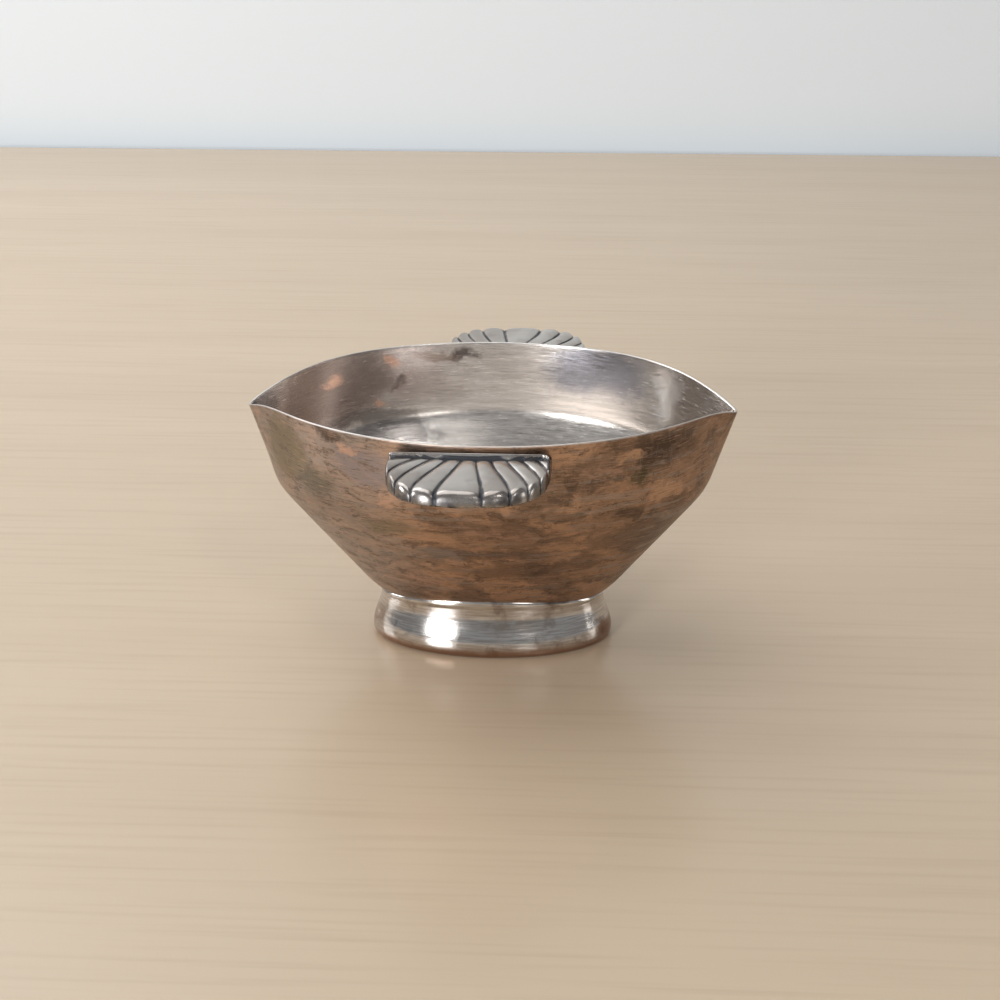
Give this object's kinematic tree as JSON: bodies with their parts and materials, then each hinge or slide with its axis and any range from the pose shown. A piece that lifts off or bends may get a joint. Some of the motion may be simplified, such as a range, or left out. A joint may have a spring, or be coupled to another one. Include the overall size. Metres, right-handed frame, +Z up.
{
  "type": "sauce boat",
  "caption": "Two-lipped oval sauce boat of worn silver plate on copper, with shell lugs on its long sides and an oval foot ring.",
  "frame": {"origin": "on the table, under the middle of the foot ring", "axes": "+Z up, +X along the boat towards one lip, -Y towards the front lug"},
  "size_m": [0.1798, 0.1704, 0.0996],
  "materials": {
    "worn_plate": "silver plate worn through to copper outside, brushed silver inside",
    "foot_silver": "bright worn silver plate, copper at the resting edge",
    "shell_silver": "satin silver with blackened grooves",
    "backing_copper": "dull tarnished copper",
    "solder": "dull grey hard solder"
  },
  "bodies": {
    "root": {"bowl": "worn_plate", "foot_ring": "foot_silver", "foot_solder": "solder", "front_shell": "shell_silver", "front_shell_backing": "backing_copper", "front_shell_solder": "solder", "back_shell": "shell_silver", "back_shell_backing": "backing_copper", "back_shell_solder": "solder"}
  },
  "joints": []
}
